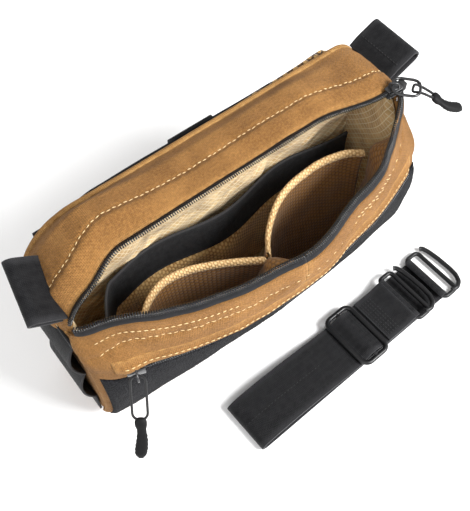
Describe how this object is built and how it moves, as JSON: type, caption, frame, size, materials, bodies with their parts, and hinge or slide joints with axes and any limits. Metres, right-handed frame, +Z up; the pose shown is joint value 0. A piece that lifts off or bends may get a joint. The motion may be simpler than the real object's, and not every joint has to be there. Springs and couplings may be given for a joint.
{
  "type": "binocular harness pack",
  "caption": "Zip-top canvas chest pack with inner slip pockets, a front pocket under a loop panel, side attachment loops and a folded webbing harness strap with hooks.",
  "frame": {"origin": "on the pack's flat base, on its middle line and 34 mm in front of the back wall's inner face", "axes": "+X along the pack's width to the wearer's left, -Y out of the front, +Z up"},
  "size_m": [0.2947, 0.1579, 0.1723],
  "materials": {
    "coyote_canvas": "plain-weave canvas, matt",
    "canvas_binding": "folded edge binding",
    "spacer_mesh": "open knitted mesh over foam",
    "ripstop_lining": "thin coated ripstop with a diamond grid",
    "honeycomb_lining": "thin honeycomb weave",
    "pocket_hem": "rolled honeycomb hem",
    "black_elastic": "flat knitted elastic",
    "black_webbing": "ribbed webbing",
    "loop_pile": "brushed loop pile",
    "zipper_tape": "woven zipper tape",
    "zipper_coil": "satin coil",
    "slider_metal": "black lacquer",
    "pull_cord": "braided cord",
    "grip_rubber": "moulded, matt",
    "cast_hardware": "black coating, satin"
  },
  "bodies": {
    "pack": {"back_mesh_pad": "spacer_mesh", "back_wall": "coyote_canvas", "back_binding": "canvas_binding", "back_lining": "ripstop_lining", "top_panel": "coyote_canvas", "left_shoulder": "coyote_canvas", "right_shoulder": "coyote_canvas", "left_gusset": "coyote_canvas", "right_gusset": "coyote_canvas", "bottom_gusset": "coyote_canvas", "rear_zip_tape": "zipper_tape", "rear_zip_coil": "zipper_coil", "zip_end_left": "zipper_tape", "zip_end_right": "zipper_tape", "organiser_pocket": "honeycomb_lining", "organiser_elastic": "black_elastic", "left_side_webbing": "black_webbing", "right_side_webbing": "black_webbing", "rear_strap": "black_webbing"},
    "front": {"front_panel": "coyote_canvas", "front_lining": "ripstop_lining", "front_zip_tape": "zipper_tape", "front_zip_coil": "zipper_coil", "pocket_loop_panel": "loop_pile", "pocket_zip_tape": "zipper_tape", "pocket_zip_coil": "zipper_coil", "slip_pocket_left": "honeycomb_lining", "slip_pocket_right": "honeycomb_lining", "slip_hem_left": "pocket_hem", "slip_hem_right": "pocket_hem"},
    "keeper": {"strap_keeper": "black_webbing"},
    "left_tab": {"left_tab": "black_webbing"},
    "right_tab": {"right_tab": "black_webbing"},
    "main_slider": {"main_slider": "slider_metal"},
    "main_pull": {"main_pull_ring": "slider_metal"},
    "main_grip": {"main_pull_cord": "pull_cord", "main_pull_grip": "grip_rubber"},
    "pocket_slider": {"pocket_slider": "slider_metal"},
    "pocket_pull": {"pocket_pull_cord": "pull_cord", "pocket_pull_grip": "grip_rubber"},
    "strap": {"strap_lower": "black_webbing", "strap_upper": "black_webbing", "strap_sewn_end": "black_webbing"},
    "tri_glide": {"tri_glide_frame": "cast_hardware", "tri_glide_bar": "cast_hardware", "bar_wrap": "black_webbing"},
    "upper_hook": {"upper_hook": "cast_hardware"},
    "lower_hook": {"lower_hook": "cast_hardware"}
  },
  "joints": [
    {"name": "front_swing", "type": "hinge", "parent": "pack", "child": "front", "pos_m": [0, -0.015, 0.004], "axis": [-1, 0, 0], "range_deg": [0, 16.4]},
    {"name": "main_slide", "type": "slide", "parent": "pack", "child": "main_slider", "axis": [-1, 0, 0], "range_m": [0, 0.196]},
    {"name": "main_pull_swing", "type": "hinge", "parent": "main_slider", "child": "main_pull", "pos_m": [0.1155, -0.0111, 0.16905], "axis": [-0.7431, -0.6691, 0], "range_deg": [0, 110]},
    {"name": "main_grip_swing", "type": "hinge", "parent": "main_pull", "child": "main_grip", "pos_m": [0.12567, -0.0224, 0.16905], "axis": [-0.7431, -0.6691, 0], "range_deg": [-15, 35]},
    {"name": "pocket_slide", "type": "hinge", "parent": "front", "child": "pocket_slider", "pos_m": [0, 0.23737, 0.113], "axis": [0, 0, 1], "range_deg": [0, 38]},
    {"name": "pocket_pull_swing", "type": "hinge", "parent": "pocket_slider", "child": "pocket_pull", "pos_m": [-0.10792, -0.04923, 0.113], "axis": [-0.8025, 0.5967, 0], "range_deg": [-30, 70]},
    {"name": "left_tab_flex", "type": "hinge", "parent": "pack", "child": "left_tab", "pos_m": [-0.12063, 0.004, 0.15338], "axis": [0, 1, 0], "range_deg": [-25, 25], "stiffness_Nm_per_rad": 0.05},
    {"name": "right_tab_flex", "type": "hinge", "parent": "pack", "child": "right_tab", "pos_m": [0.12848, 0.02, 0.15555], "axis": [0, 1, 0], "range_deg": [-25, 25], "stiffness_Nm_per_rad": 0.05},
    {"name": "keeper_slide", "type": "slide", "parent": "pack", "child": "keeper", "axis": [1, 0, 0], "range_m": [-0.045, 0.045]},
    {"name": "strap_lift", "type": "slide", "parent": "pack", "child": "strap", "axis": [0, 0, 1], "range_m": [0, 0.08]},
    {"name": "glide_slide", "type": "slide", "parent": "strap", "child": "tri_glide", "axis": [0.9993, 0.0384, 0], "range_m": [-0.088, 0.003]},
    {"name": "upper_hook_swing", "type": "hinge", "parent": "strap", "child": "upper_hook", "pos_m": [0.09489, -0.07913, 0.00786], "axis": [0.0384, -0.9993, 0], "range_deg": [0, 75]},
    {"name": "lower_hook_swing", "type": "hinge", "parent": "strap", "child": "lower_hook", "pos_m": [0.12586, -0.07794, 0.00366], "axis": [0.0384, -0.9993, 0], "range_deg": [0, 75]}
  ],
  "couplings": [
    {"joint": "main_slide", "follows": "front_swing", "m_per_rad": 0.684}
  ]
}
